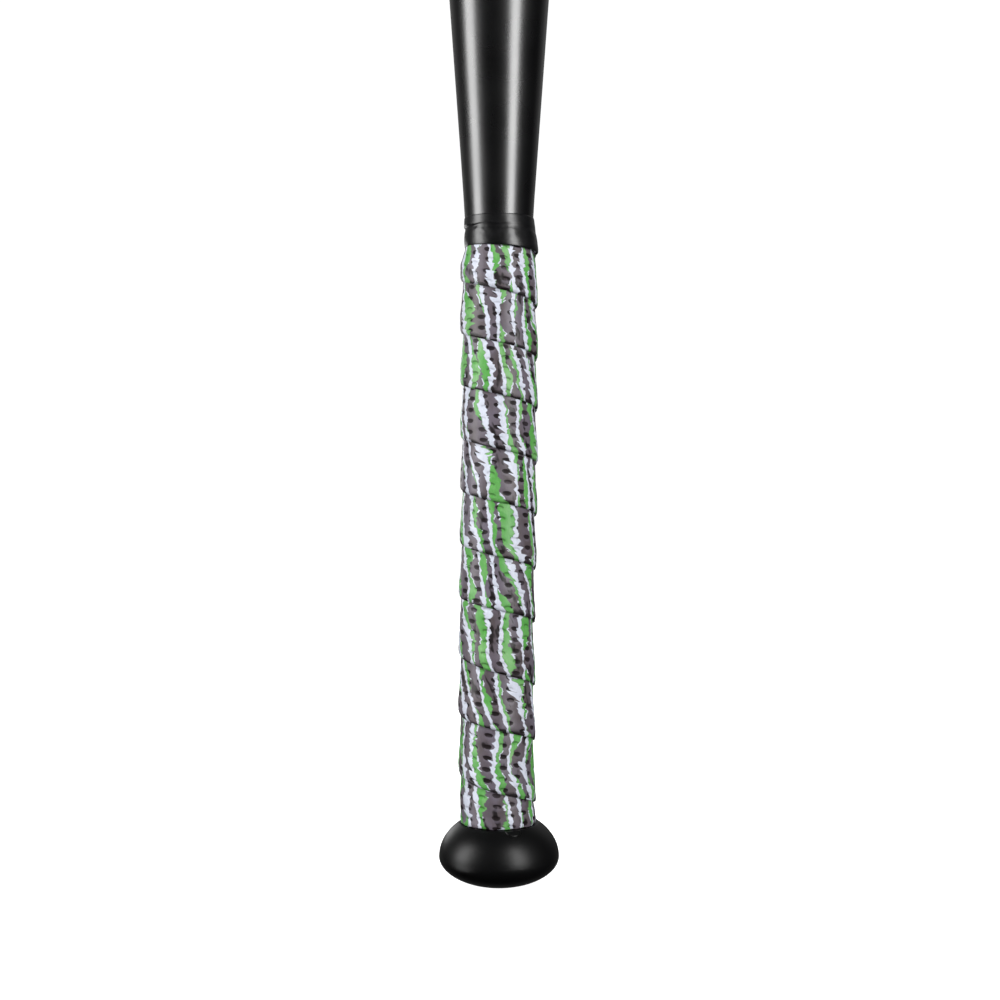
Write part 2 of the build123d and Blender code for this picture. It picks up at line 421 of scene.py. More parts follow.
def inputs(*names: str) -> dict[str, str]:
    """Give each input of a shape's tree its socket type.

    Args:
        names: The inputs' names. Columns and Rows are whole numbers.

    Returns:
        The types by name, with the material's last.
    """
    whole = ("Columns", "Rows")
    kinds = {name: "NodeSocketInt" if name in whole else "NodeSocketFloat" for name in names}
    return kinds | {"Material": "NodeSocketMaterial"}


# ------------------------------------------------------------------------------- finishes


class Coating(Tree):
    """A new material with one Principled shader."""

    def __init__(self, name: str, base: Colour, gloss: Gloss, **constants: float) -> None:
        """Start a material.

        Args:
            name: The material's name.
            base: Its base colour, for where nothing is linked.
            gloss: Its roughness, for where nothing is linked.
            constants: Further shader sockets, with underscores for spaces.
        """
        self.material = bpy.data.materials.new(name)
        self.material.use_nodes = True
        super().__init__(self.material.node_tree)
        self.shader = self.nodes.nodes["Principled BSDF"]
        self.set("Base Color", (*base, 1.0))
        self.set("Roughness", gloss.value)
        for key, value in constants.items():
            self.set(key.replace("_", " "), value)

    def set(self, socket: str, value: Value) -> None:
        """Set or link one socket of the shader.

        Args:
            socket: The socket's name.
            value: A constant, or a link to its source.
        """
        if isinstance(value, Wire):
            self.nodes.links.new(value.socket, self.shader.inputs[socket])
        else:
            self.shader.inputs[socket].default_value = value

    def place(self) -> Wire:
        """Read the piece's own Object coordinates.

        Returns:
            The coordinates, in metres.
        """
        return self.out("ShaderNodeTexCoord", output="Object")

    def mix(self, amount: Value, first: Union[Colour, Wire], second: Union[Colour, Wire]) -> Wire:
        """Blend two colours.

        Args:
            amount: 0 for the first, 1 for the second.
            first: A colour or a link.
            second: A colour or a link.

        Returns:
            The blended colour.
        """
        node = self.node("ShaderNodeMix", {"data_type": "RGBA"}, {0: amount})
        for index, colour in ((6, first), (7, second)):
            if isinstance(colour, Wire):
                self.nodes.links.new(colour.socket, node.inputs[index])
            else:
                node.inputs[index].default_value = (*colour, 1.0)
        return Wire(self, node.outputs[2])

    def bump(self, height: Wire, depth: float, strength: float = 1.0) -> None:
        """Feed a height into the shader's normal.

        Args:
            height: The relief, from 0 to 1.
            depth: What 1 stands for, in metres.
            strength: How much of it shows.
        """
        normal = self.out(
            "ShaderNodeBump", sockets={"Height": height, "Distance": depth, "Strength": strength}
        )
        self.set("Normal", normal)


@dataclass(frozen=True)
class SprayedEnamel:
    """Sprayed black enamel: orange peel, faint dust and a little unevenness in its gloss."""

    name: str
    base: Colour = (0.0024, 0.0024, 0.0027)
    gloss: Gloss = Gloss.SATIN
    mirror: float = 1.0
    peel_mm: float = 2.2
    peel_depth_mm: float = 0.012
    speck_mm: float = 0.35
    cloud_mm: float = 24.0
    dust: Colour = (0.025, 0.025, 0.025)
    dust_share: float = 0.25
    relief_share: float = 0.5

    def make(self) -> bpy.types.Material:
        """Build the material.

        Returns:
            The material.
        """
        coat = Coating(self.name, self.base, self.gloss, Specular_IOR_Level=self.mirror)
        place = coat.place()
        clouds = coat.noise(place, 1 / (self.cloud_mm * MM), 3.0, seed=2.0)
        peel = coat.noise(place, 1 / (self.peel_mm * MM), 1.5, seed=5.0)
        specks = coat.noise(place, 1 / (self.speck_mm * MM), 1.0, seed=9.0)
        dusty = coat.ramp(specks, 0.70, 0.78)
        shade = coat.ramp(clouds, 0.3, 0.7, 0.85, 1.2)
        paint = coat.mix(dusty * self.dust_share, self.base, self.dust)
        tone = coat.out("ShaderNodeVectorMath", {"operation": "SCALE"}, {0: paint, "Scale": shade})
        coat.set("Base Color", tone)
        level = self.gloss.value
        coat.set("Roughness", coat.ramp(clouds, 0.3, 0.7, level - 0.02, level + 0.03))
        coat.bump(peel + specks * 0.25, self.peel_depth_mm * MM, self.relief_share)
        return coat.material


@dataclass(frozen=True)
class Moulding:
    """A plain moulded or cast finish with a fine sparked texture."""

    name: str
    base: Colour
    gloss: Gloss
    grain_mm: float = 0.5
    grain_depth_mm: float = 0.02
    flow_mm: float = 14.0
    spread: float = 0.25
    relief_share: float = 0.6

    def make(self) -> bpy.types.Material:
        """Build the material.

        Returns:
            The material.
        """
        coat = Coating(self.name, self.base, self.gloss)
        place = coat.place()
        grain = coat.noise(place, 1 / (self.grain_mm * MM), 2.0, seed=3.0)
        flow = coat.noise(place, 1 / (self.flow_mm * MM), 2.0, seed=8.0)
        pale = tuple(channel * (1 + 2 * self.spread) + 0.002 for channel in self.base)
        deep = tuple(channel * (1 - self.spread) for channel in self.base)
        coat.set("Base Color", coat.mix(coat.ramp(flow, 0.3, 0.7), deep, pale))
        level = self.gloss.value
        coat.set("Roughness", coat.ramp(grain, 0.3, 0.7, level - 0.05, level + 0.07))
        coat.bump(grain, self.grain_depth_mm * MM, self.relief_share)
        return coat.material


@dataclass(frozen=True)
class StretchedVinyl:
    """Glossy black vinyl tape pulled tight: long fine pull lines and a few dull creases."""

    name: str = "black_vinyl"
    base: Colour = (0.0030, 0.0030, 0.0034)
    sheen: Colour = (0.007, 0.007, 0.008)
    pull_mm: float = 0.55
    wave_mm: float = 2.6
    relief_mm: float = 0.06
    relief_share: float = 0.4

    def make(self) -> bpy.types.Material:
        """Build the material.

        Returns:
            The material.
        """
        coat = Coating(self.name, self.base, Gloss.SATIN, Specular_IOR_Level=0.6)
        x, y, z = coat.split(coat.place())
        turn = coat.calc("ARCTAN2", y, x)
        pulled = coat.vector(turn * 6.0, z / (self.pull_mm * MM))
        pulls = coat.noise(pulled, 1.0, 3.0, seed=4.0)
        waved = coat.vector(turn * 3.0, z / (self.wave_mm * MM))
        waves = coat.noise(waved, 1.0, 2.0, seed=6.0)
        coat.set("Roughness", coat.ramp(pulls, 0.35, 0.75, 0.29, 0.36))
        coat.set("Base Color", coat.mix(coat.ramp(waves, 0.45, 0.75), self.base, self.sheen))
        coat.bump(pulls * 0.20 + waves, self.relief_mm * MM, self.relief_share)
        return coat.material


@dataclass(frozen=True)
class Embossing:
    """The flat-topped dimples pressed into the tape, staggered from column to column.

    Each one is off its place by up to half of jitter_cm and slip_cm, and tilt leans it.
    """

    column_cm: float = 0.61
    row_cm: float = 0.45
    half_length_cm: float = 0.200
    crown_cm: float = 0.075
    belly_share: float = 0.52
    jitter_cm: float = 0.10
    slip_cm: float = 0.05
    tilt: float = 0.14

    def cells(self, tree: Tree, along: Wire, across: Wire) -> tuple[Wire, Wire, Wire]:
        """Find the place inside the nearest dimple's cell.

        Args:
            tree: The tree that the nodes go to.
            along: Distance along the tape, in centimetres.
            across: Distance across the tape, in centimetres.

        Returns:
            The offset along and across from the dimple's middle, in centimetres, and a random
            number for each cell.
        """
        column = along / self.column_cm
        number = column.calc("FLOOR")
        stagger = number.calc("FLOORED_MODULO", 2.0) * 0.5
        row = across / self.row_cm + stagger
        luck = tree.out("ShaderNodeTexWhiteNoise", {"noise_dimensions": "2D"},
                        {"Vector": tree.vector(number, row.calc("FLOOR"))})
        dx = (column.calc("FRACT") - 0.5) * self.column_cm + (luck - 0.5) * self.jitter_cm
        dy = (row.calc("FRACT") - 0.5) * self.row_cm - (luck - 0.5) * self.slip_cm
        dy = dy + dx * self.tilt
        return dx, dy, luck

    def press(self, tree: Tree, dx: Wire, dy: Wire, grow: float = 1.0) -> Wire:
        """Shade a dimple from 1 in its middle to 0 at its rim.

        Args:
            tree: The tree that the nodes go to.
            dx: Offset along the tape from its middle, in centimetres.
            dy: Offset across the tape, in centimetres.
            grow: How much larger than its nominal size it is.

        Returns:
            The dimple's depth, from 0 to 1.
        """
        x = dx / (self.half_length_cm * grow)
        y = dy.calc("MAXIMUM", dy * -self.belly_share) / (self.crown_cm * grow)
        return tree.ramp(x * x + y * y, 0.15, 1.0, 1.0, 0.0, smooth=True)


@dataclass(frozen=True)
class CamouflagePrint:
    """Five-colour brushed camouflage printed on embossed tape, in the tape's own coordinates, with
    painted shade and highlight in the dimples and painted shade along the seams.

    The strokes' edges, drift, tears and softness are shares of a stroke's width.
    """

    emboss: Embossing
    name: str = "camouflage_tape"
    stroke_cm: float = 0.74
    line_share: float = 0.25
    taupe: Colour = (0.086, 0.068, 0.075)
    # The print's mauve, also used as painted highlight on the dimples' lower lips.
    mauve_and_highlight: Colour = (0.134, 0.114, 0.145)
    # The print's dark brown, also used as painted shade in the dimples and along the seams.
    bark_and_shade: Colour = (0.011, 0.007, 0.008)
    leaf: Colour = (0.090, 0.340, 0.065)
    # Paler leaf green: partly the print's own tone, partly painted highlight.
    pale_leaf_and_highlight: Colour = (0.215, 0.450, 0.170)
    frost: Colour = (0.595, 0.625, 0.720)
    mirror: float = 0.1
    coat_roughness: float = 0.43
    coat_weight: float = 0.72
    coat_lost: float = 0.64
    thread_cm: float = 0.045
    relief_mm: float = 0.22
    relief_share: float = 0.8

    LEAN = 0.34
    DRIFT, RAGGED = 2.2, 0.30
    PLAIN_SHARE = 0.62
    TEAR_IN, TEAR_OUT = 0.38, 0.42
    TEETH_PER_CM = 2.6
    LINE_RANGE = (0.45, 1.42)
    INNER, OUTER = 0.63, 0.59
    SOFT = 0.03
    STRAY_ABOVE = 0.54
    CORE_DROP_CM, CORE_SIZE = 0.045, 0.85
    LIP_DROP_CM = 0.13

    def make(self) -> bpy.types.Material:
        """Build the material.

        Returns:
            The material.
        """
        coat = Coating(self.name, self.taupe, Gloss.MATTE, Specular_IOR_Level=self.mirror,
                       Coat_Roughness=self.coat_roughness, Coat_IOR=1.5)
        uv = coat.out("ShaderNodeUVMap", {"uv_map": "tape"})
        along, across, _ = coat.split(uv)
        colour = self.paint(coat, along, across)
        colour = self.pressed(coat, colour, along, across)
        grain = coat.noise(coat.vector(along * 18.0, across * 7.0), 1.0, 2.0, 0.6, seed=83.0)
        tone = coat.ramp(grain, 0.3, 0.7, 0.90, 1.08)
        colour = coat.out("ShaderNodeVectorMath", {"operation": "SCALE"},
                          {0: colour, "Scale": tone})
        coat.set("Base Color", colour)
        self.relief(coat, along, across)
        return coat.material

    def paint(self, coat: Coating, along: Wire, across: Wire) -> Wire:
        """Lay the colours: green brush strokes on taupe, each with a torn white border.

        Args:
            coat: The material.
            along: Distance along the tape, in centimetres.
            across: Distance across the tape, in centimetres.

        Returns:
            The printed colour.
        """
        def field_at(x: Value, y: Value, seed: float, detail: float = 2.0) -> Wire:
            """Sample noise at a place on the tape.

            Args:
                x: The first coordinate.
                y: The second coordinate.
                seed: The noise's fixed seed.
                detail: Its octaves.

            Returns:
                The noise's value.
            """
            return coat.noise(coat.vector(x, y), 1.0, detail, 0.6, seed=seed)

        sway = field_at(along * 0.30, across * 0.25, 7.0, 1.0)
        lean = across * coat.ramp(sway, 0.3, 0.7, 0.0, self.LEAN)
        drift = field_at(along * 0.55, across * 0.30, 13.0, 1.0)
        ragged = field_at(along * 1.6, across * 3.4, 1.0, 1.0)
        brush = (along - lean) / self.stroke_cm + (drift - 0.5) * self.DRIFT
        brush = brush + (ragged - 0.5) * self.RAGGED
        stroke = brush.calc("FLOOR")
        luck = coat.out("ShaderNodeTexWhiteNoise", {"noise_dimensions": "1D"}, {"W": stroke})
        place = brush - stroke
        turned = luck > self.PLAIN_SHARE
        place = place + turned * (1 - place * 2)

        tear_in = (field_at(stroke * 3.7, across * 4.4, 17.0, 1.5) - 0.5) * self.TEAR_IN
        tear_out = (field_at(stroke * 5.1, across * 4.0, 19.0, 1.5) - 0.5) * self.TEAR_OUT
        jag = across * self.TEETH_PER_CM + field_at(stroke * 1.9, across * 1.3, 43.0) * 3.0
        torn = coat.ramp(field_at(stroke * 2.9, across * 0.9, 47.0, 1.0), 0.48, 0.62, 0.04, 0.26)
        teeth = jag.calc("FRACT") * torn
        body = field_at(stroke * 2.3, across * 0.9, 23.0, 1.0)
        thin, thick = (self.line_share * factor for factor in self.LINE_RANGE)
        line = coat.ramp(body, 0.25, 0.75, thin, thick)
        inner = self.INNER - line * 0.5 + tear_in - teeth * 0.6
        outer = self.OUTER + line * 0.5 + tear_out + teeth
        fill = field_at(stroke * 4.9, across * 0.55, 29.0, 1.0)
        leaf_edge = inner - coat.ramp(fill, 0.40, 0.62, 0.0, 0.50) + tear_out * 0.5

        ground = coat.mix(coat.ramp(field_at(along * 1.1, across * 0.5, 11.0), 0.42, 0.62),
                          self.taupe, self.mauve_and_highlight)
        rot = coat.ramp(field_at((along - lean) * 2.2, across * 1.0, 21.0), 0.56, 0.62)
        colour = coat.mix(rot, ground, self.bark_and_shade)
        # Paler green patches on the leaves: partly the print's own tone, partly painted highlight.
        lit = coat.ramp(field_at(brush * 1.3, across * 0.8, 37.0, 3.0), 0.46, 0.72)
        leaves = coat.mix(lit, self.leaf, self.pale_leaf_and_highlight)
        green = coat.ramp(place - leaf_edge, 0.0, self.SOFT) * coat.ramp(inner - place, -0.02, 0.01)
        colour = coat.mix(green, colour, leaves)
        white = coat.ramp(place - inner, 0.0, self.SOFT) * coat.ramp(outer - place, 0.0, self.SOFT)
        hair = coat.ramp(abs(place - leaf_edge + 0.02), 0.02, 0.05, 1.0, 0.0)
        stray = hair * (field_at(stroke, across * 1.5, 41.0) > self.STRAY_ABOVE)
        return coat.mix(white.calc("MAXIMUM", stray), colour, self.frost)

    def pressed(self, coat: Coating, colour: Wire, along: Wire, across: Wire) -> Wire:
        """Darken the dimples with printed ovals and painted shade, paint a highlight on each
        dimple's lower lip, and paint shade along the lower rim of each turn, where it laps the one
        below.

        Args:
            coat: The material.
            colour: The printed colour.
            along: Distance along the tape, in centimetres.
            across: Distance across the tape, in centimetres.

        Returns:
            The shaded colour.
        """
        dx, dy, luck = self.emboss.cells(coat, along, across)
        oval = self.emboss.press(coat, dx, dy)
        core = self.emboss.press(coat, dx, dy + self.CORE_DROP_CM, self.CORE_SIZE)
        # Dark crescents in the dimples on the dull colours: partly printed ovals, partly painted
        # shade under each dimple's upper rim. On the pale colours only a painted shadow at the top
        # of each dimple shows.
        crescent = oval * (1 - core * coat.ramp(luck, 0.3, 0.9, 0.0, 0.85))
        value = coat.out("ShaderNodeSeparateColor", {"mode": "HSV"}, {0: colour}, "Blue")
        dull = coat.ramp(value, 0.20, 0.33, 1.0, 0.0)
        # Painted highlight: a lighter mauve band on the lower lip of each dimple, on the dull
        # colours.
        lip_highlight = self.emboss.press(coat, dx, dy + self.LIP_DROP_CM) * (1 - oval)
        colour = coat.mix(lip_highlight * dull * 0.5, colour, self.mauve_and_highlight)
        shadow = coat.ramp(oval * (1 - core), 0.10, 0.45) * (1 - dull)
        shadow = shadow * coat.ramp(value, 0.50, 0.60, 0.45, 0.14)
        strength = coat.ramp((luck * 7.0).calc("FRACT"), 0.0, 0.5, 0.74, 0.98)
        dark = coat.ramp(crescent, 0.08, 0.30) * dull * strength
        colour = coat.mix(dark.calc("MAXIMUM", shadow), colour, self.bark_and_shade)
        # Painted shade along the lower rim of each turn, where it laps the turn below, strongest on
        # the dull colours.
        seam_shade_spread = coat.noise(coat.vector(along * 1.5, across * 3.0), 1.0, 3.0, 0.6, seed=61.0)
        edge = coat.ramp(across, 0.0, coat.ramp(seam_shade_spread, 0.40, 0.62, 0.04, 0.26), 1.0, 0.0)
        return coat.mix(coat.ramp(edge, 0.0, 0.5) * coat.ramp(dull, 0.0, 1.0, 0.15, 0.92),
                        colour, self.bark_and_shade)

    def relief(self, coat: Coating, along: Wire, across: Wire) -> None:
        """Add the fine weave, the fuzz and the dimples as bump, and vary the gloss and the coat.

        Args:
            coat: The material.
            along: Distance along the tape, in centimetres.
            across: Distance across the tape, in centimetres.
        """
        dx, dy, _ = self.emboss.cells(coat, along, across)
        oval = self.emboss.press(coat, dx, dy)
        thread = TURN / self.thread_cm
        warp = (along * thread).calc("SINE")
        weft = (across * thread).calc("SINE")
        weave = warp * weft * 0.5 + 0.5
        fuzz = coat.noise(coat.vector(along, across), 30.0, 3.0, 0.6, seed=71.0)
        coat.bump(weave * 0.06 + fuzz * 0.18 - oval * 0.8, self.relief_mm * MM, self.relief_share)
        coat.set("Roughness", coat.ramp(fuzz, 0.3, 0.7, 0.50, 0.66))
        coat.set("Coat Weight", self.coat_weight - oval * self.coat_lost)


# ------------------------------------------------------------------------------- sub-assemblies


def dress(node: str, material: bpy.types.Material) -> None:
    """Give a CAD node its finish.

    Args:
        node: The node's name.
        material: The finish.
    """
    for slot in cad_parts[node].material_slots:
        slot.material = material


def stand_for(piece: bpy.types.Object, node: str) -> bpy.types.Object:
    """Put a new piece on the bat in place of a CAD node.

    Args:
        piece: The new piece.
        node: The CAD node it stands for.

    Returns:
        The piece.
    """
    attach(piece, BODY)
    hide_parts(node)
    log.info("%s: %d faces in place of %s", piece.name, len(piece.data.polygons), node)
    return piece


@dataclass
class GripWinding:
    """The wound grip tape: a left-handed strip that laps itself at every turn.

    A row of the grid runs once round the tape's section. OUTER of it is the printed face, EDGE
    each side wall, and the rest the back.
    """

    thickness: float = 1.1 * MM
    width: float = 28.5 * MM
    first_edge: float = -12.5 * MM
    advances_mm: tuple[float, ...] = (
        22.9, 22.9, 25.8, 22.9, 26.3, 21.7, 22.5, 21.6, 22.1, 21.3, 21.6, 21.8, 21.8,
    )
    direction: Winding = Winding.LEFT_HANDED
    dimple: float = 0.30 * MM
    wander: float = 0.8 * MM
    bunching: float = 0.9 * MM
    fray: float = 0.45 * MM
    seed: float = 3.0
    columns_per_turn: int = 120
    rows: int = 54
    emboss: Embossing = field(default_factory=Embossing)

    OUTER = 0.84
    EDGE = 0.02
    TURNS_PER_ROW = 2
    TIP_TURNS = 0.03
    LIFT_POWER = 1.25
    LAP_GAP = 0.05 * MM
    RUCK_MM, LUMP_MM = 0.45, 0.5
    WORN_CM, WORN_SHARE = 0.12, 0.62
    BULGE = 0.35
    SQUEEZE, SQUEEZE_SIDE = 0.55, 0.35
    INPUTS = inputs(
        "Start", "End", "Columns", "Rows", "Foot", "Climb", "Hand", "Bed Radius", "Thickness",
        "Width", "Hem", "Top", "Dimple", "Wander", "Bunch", "Fray", "Seed",
    )

    def edge_height(self, tree: ShapeTree, turn: Wire) -> Wire:
        """Find the height of the tape's lower edge.

        Args:
            tree: The tree that the nodes go to.
            turn: Turns wound since the first edge.

        Returns:
            The height above the knob's base.
        """
        total = sum(self.advances_mm)
        done = [sum(self.advances_mm[:n]) / total for n in range(len(self.advances_mm) + 1)]
        count = len(self.advances_mm)
        points = [(n / count, height) for n, height in enumerate(done)]
        share = tree.out("ShaderNodeFloatCurve", {"points": points}, {1: turn / count})
        loose = tree.noise(tree.vector(turn * 1.3, 0.0), 1.0, 1.0, seed=tree.input("Seed") - 0.5)
        drift = (loose - 0.5) * tree.input("Wander")
        return tree.input("Foot") + share * tree.input("Climb") + drift

    def tree(self) -> ShapeTree:
        """Build the winding's Geometry Nodes tree.

        Returns:
            The finished tree.
        """
        tree = ShapeTree("WoundTape", self.INPUTS)
        start, end = tree.input("Start"), tree.input("End")
        span = end - start
        grid = tree.out("GeometryNodeMeshGrid", sockets={
            "Size X": span, "Size Y": 1.0,
            "Vertices X": tree.input("Columns"), "Vertices Y": tree.input("Rows")})
        x, y, _ = tree.split(tree.out("GeometryNodeInputPosition"))
        turn = x + (start + end) * 0.5
        loop = y + 0.5
        inner = self.OUTER + self.EDGE
        across = tree.ramp(loop, 0.0, self.OUTER) - tree.ramp(loop, inner, 1 - self.EDGE)
        depth = tree.ramp(loop, self.OUTER, inner) - tree.ramp(loop, 1 - self.EDGE, 1.0)

        width, thick, seed = tree.input("Width"), tree.input("Thickness"), tree.input("Seed")
        arc = turn * TURN
        low = self.edge_height(tree, turn)
        below = self.edge_height(tree, turn - 1.0)
        above = self.edge_height(tree, turn + 1.0)
        fray = tree.noise(tree.vector(arc.calc("COSINE"), arc.calc("SINE")), 4.0, 2.0, seed=seed)
        hem = tree.input("Hem") + tree.ramp(fray, 0.42, 0.68) * tree.input("Fray")
        cut = tree.ramp((hem - low) / width, 0.0, 1.0)
        trim = tree.ramp((tree.input("Top") - low) / width, 0.0, 1.0)
        tip = tree.ramp((turn - start).calc("MINIMUM", end - turn), 0.0, self.TIP_TURNS)
        spread = (trim - cut) * tip
        share = (cut + trim) * 0.5 + (across - 0.5) * spread
        height = low + share * width

        laps = (below + width - low) / width
        lies = (above - low) / width
        free = tree.ramp(share, laps, lies, 1.0, 0.0)
        lift = free ** self.LIFT_POWER
        round_cm = (tree.input("Bed Radius") + thick) * TURN / CM
        along, over = turn * round_cm, share * width / CM
        dx, dy, luck = self.emboss.cells(tree, along, over)
        dimple = self.emboss.press(tree, dx, dy) * tree.ramp(luck, 0.0, 1.0, 0.6, 1.0)
        ruck = tree.noise(tree.vector(along * 0.9, over * 2.2), 1.0, 2.0, seed=seed + 0.7)
        lump = tree.noise(tree.vector(along * 0.35, over * 0.8), 1.0, 1.0, seed=seed + 5.1)
        worn = tree.ramp(over - cut * width / CM, 0.0, self.WORN_CM, self.WORN_SHARE, 1.0)
        body = thick * worn * tip
        skin = body * (1 - depth) - tree.input("Dimple") * dimple * (1 - depth)
        swell = (ruck - 0.5) * self.RUCK_MM * MM + (lump - 0.5) * self.LUMP_MM * MM
        swell = swell * (1 - depth) * tip
        bulge = (depth * math.pi).calc("SINE") * thick * self.BULGE
        side = tree.ramp(across, 0.0, 1.0, -1.0, 1.0)
        height = height + bulge * side * tip
        squeeze = self.squeeze(tree, height, arc)
        stand_off = lift * (thick + self.LAP_GAP) + skin + swell
        radius = tree.input("Bed Radius") + stand_off * squeeze
        radius = radius + self.bunch(tree, height, arc) * (1 - depth) * tip
        angle = arc * tree.input("Hand")
        place = tree.vector(angle.calc("COSINE") * radius, angle.calc("SINE") * radius, height)

        shape = tree.keep_map(grid, "tape", tree.vector(along, over))
        shape = tree.keep_map(shape, "OFBake", self.bake_place(tree, turn, loop))
        shape = tree.out("GeometryNodeSetPosition", sockets={"Geometry": shape, "Position": place})
        if self.direction is Winding.LEFT_HANDED:
            shape = tree.out("GeometryNodeFlipFaces", sockets={0: shape})
        tree.close(shape)
        return tree

    def squeeze(self, tree: ShapeTree, height: Wire, arc: Wire) -> Wire:
        """Flatten the tape's trimmed end under the band, most on the -X side.

        Args:
            tree: The tree that the nodes go to.
            height: Height above the knob's base.
            arc: Angle wound, in radians.

        Returns:
            The share of the tape's stand-off that is left.
        """
        near = tree.ramp(height, tree.input("Top") - 9 * MM, tree.input("Top") - 1 * MM,
                         smooth=True)
        return 1 - near * (self.SQUEEZE - arc.calc("COSINE") * self.SQUEEZE_SIDE)

    def bunch(self, tree: ShapeTree, height: Wire, arc: Wire) -> Wire:
        """Push the winding's lower half towards -X, as a hand does that pulls it tight.

        Args:
            tree: The tree that the nodes go to.
            height: Height above the knob's base.
            arc: Angle wound, in radians.

        Returns:
            What to add to the radius.
        """
        low, high = tree.input("Hem") + 4 * MM, tree.input("Hem") + 12 * MM
        share = tree.ramp(height, 175 * MM, 110 * MM) * tree.ramp(height, low, high)
        return arc.calc("COSINE") * share * tree.input("Bunch") * -1.0

    def bake_place(self, tree: ShapeTree, turn: Wire, loop: Wire) -> Wire:
        """Lay the strip out in rows of two turns, so that its bake has no stretched faces.

        Args:
            tree: The tree that the nodes go to.
            turn: Turns wound.
            loop: Place round the tape's section, from 0 to 1.

        Returns:
            The map's coordinates.
        """
        length = self.TURNS_PER_ROW
        rows = math.ceil(len(self.advances_mm) / length)
        row = tree.out("GeometryNodeFieldOnDomain", {"data_type": "FLOAT", "domain": "FACE"},
                       {0: turn / length}).calc("FLOOR")
        across = (row + 0.02 + loop * 0.96) / rows
        return tree.vector((turn / length - row) * 0.99 + 0.005, across)

    def turns_at(self, height: float) -> float:
        """Count the turns after which the lower edge has climbed to a height.

        Args:
            height: The height above the knob's base.

        Returns:
            Turns wound since the first edge.
        """
        edge = self.first_edge
        for number, advance in enumerate(self.advances_mm):
            if edge + advance * MM > height:
                return number + (height - edge) / (advance * MM)
            edge += advance * MM
        return float(len(self.advances_mm))

    def build(self, finish: CamouflagePrint) -> bpy.types.Object:
        """Wind the tape and put it in place of its CAD solid.

        Args:
            finish: The printed face.

        Returns:
            The tape.
        """
        low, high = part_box("grip_tape")
        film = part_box("grip_adhesive")[1].x
        start = self.turns_at(low.z - self.width)
        end = self.turns_at(high.z)
        tape = self.tree().grow("grip_tape_wound", {
            "Start": start, "End": end,
            "Columns": round((end - start) * self.columns_per_turn), "Rows": self.rows,
            "Foot": self.first_edge, "Climb": sum(self.advances_mm) * MM,
            "Hand": float(self.direction.value), "Bed Radius": film,
            "Thickness": self.thickness, "Width": self.width,
            "Hem": low.z, "Top": high.z, "Dimple": self.dimple,
            "Wander": self.wander, "Bunch": self.bunching, "Fray": self.fray, "Seed": self.seed,
            "Material": finish.make(),
        })
        return stand_for(tape, "grip_tape")


